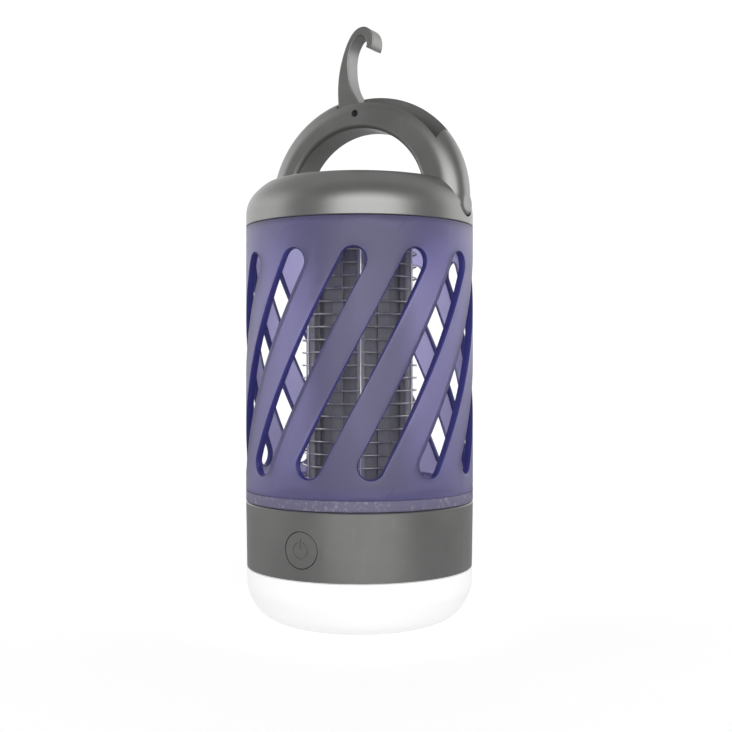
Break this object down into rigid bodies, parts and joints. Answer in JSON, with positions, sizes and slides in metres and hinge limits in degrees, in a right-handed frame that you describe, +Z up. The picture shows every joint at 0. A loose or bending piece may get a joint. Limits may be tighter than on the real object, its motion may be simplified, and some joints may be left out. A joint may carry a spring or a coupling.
{
  "type": "electric bug zapper",
  "caption": "Portable rechargeable bug zapper lantern: slotted translucent cage round a wire grid, light base with push button, lift-off cage, carrying arch and fold-out hanging hook",
  "frame": {"origin": "centre of the diffuser's flat foot, where the lantern stands", "axes": "+Z up along the body's axis, -Y to the front with the push button, +X towards the hook's open side, the handle's legs on X"},
  "size_m": [0.088, 0.088, 0.2298],
  "materials": {
    "housing_grey": "satin moulded gunmetal plastic",
    "cage_tint": "translucent smoke-violet plastic, slightly frosted",
    "tray_tint": "translucent lilac plastic with a fine sparkle",
    "diffuser_white": "opal white diffusing plastic",
    "grid_steel": "bright steel wire",
    "core_metal": "extruded metal, satin",
    "post_plastic": "insulating plastic",
    "screw_steel": "zinc plated steel",
    "board_green": "solder-masked circuit board",
    "lamp_white": "LED package",
    "lamp_violet": "ultraviolet LED package",
    "cell_wrap": "heat-shrink sleeve",
    "inner_plastic": "white moulded plastic",
    "rubber_dark": "soft moulded rubber",
    "ferrite": "ferrite and enamelled winding",
    "capacitor_film": "dipped film capacitor"
  },
  "bodies": {
    "base": {"diffuser": "diffuser_white", "base_gasket": "rubber_dark", "base_housing": "housing_grey", "base_deck": "inner_plastic", "base_lid": "inner_plastic", "lamp_board": "board_green", "lamp_leds": "lamp_white", "lamp_standoffs": "inner_plastic", "deck_screws": "screw_steel", "battery_cell": "cell_wrap", "battery_cradle": "inner_plastic", "main_board": "board_green", "hv_transformer": "ferrite", "hv_capacitor": "capacitor_film", "tact_switch": "ferrite", "charge_socket": "screw_steel", "charge_board": "board_green", "grid_foot": "post_plastic", "grid_posts": "post_plastic", "live_grid": "grid_steel", "ground_grid": "grid_steel", "grid_core": "core_metal", "grid_head": "post_plastic", "uv_board": "board_green", "uv_leds": "lamp_violet", "grid_leads": "rubber_dark"},
    "cage_top": {"catch_tray": "tray_tint", "cage": "cage_tint", "cap": "housing_grey", "cap_plate": "inner_plastic", "cap_screws": "screw_steel", "handle": "housing_grey", "handle_screws": "screw_steel", "hook_pin": "screw_steel"},
    "hook": {"hook": "housing_grey"},
    "button": {"power_button": "housing_grey"},
    "flap": {"port_flap": "rubber_dark"}
  },
  "joints": [
    {"name": "cage_lift", "type": "slide", "parent": "base", "child": "cage_top", "axis": [0, 0, 1], "range_m": [0, 0.115]},
    {"name": "hook_fold", "type": "hinge", "parent": "cage_top", "child": "hook", "pos_m": [-0.0001, 0.0017, 0.1961], "axis": [0, 1, 0], "range_deg": [0, 104]},
    {"name": "button_press", "type": "slide", "parent": "base", "child": "button", "axis": [0, 1, 0], "range_m": [0, 0.0006], "stiffness_N_per_m": 1500},
    {"name": "flap_open", "type": "hinge", "parent": "base", "child": "flap", "pos_m": [0, 0.0429, 0.0288], "axis": [-1, 0, 0], "range_deg": [0, 95]}
  ]
}
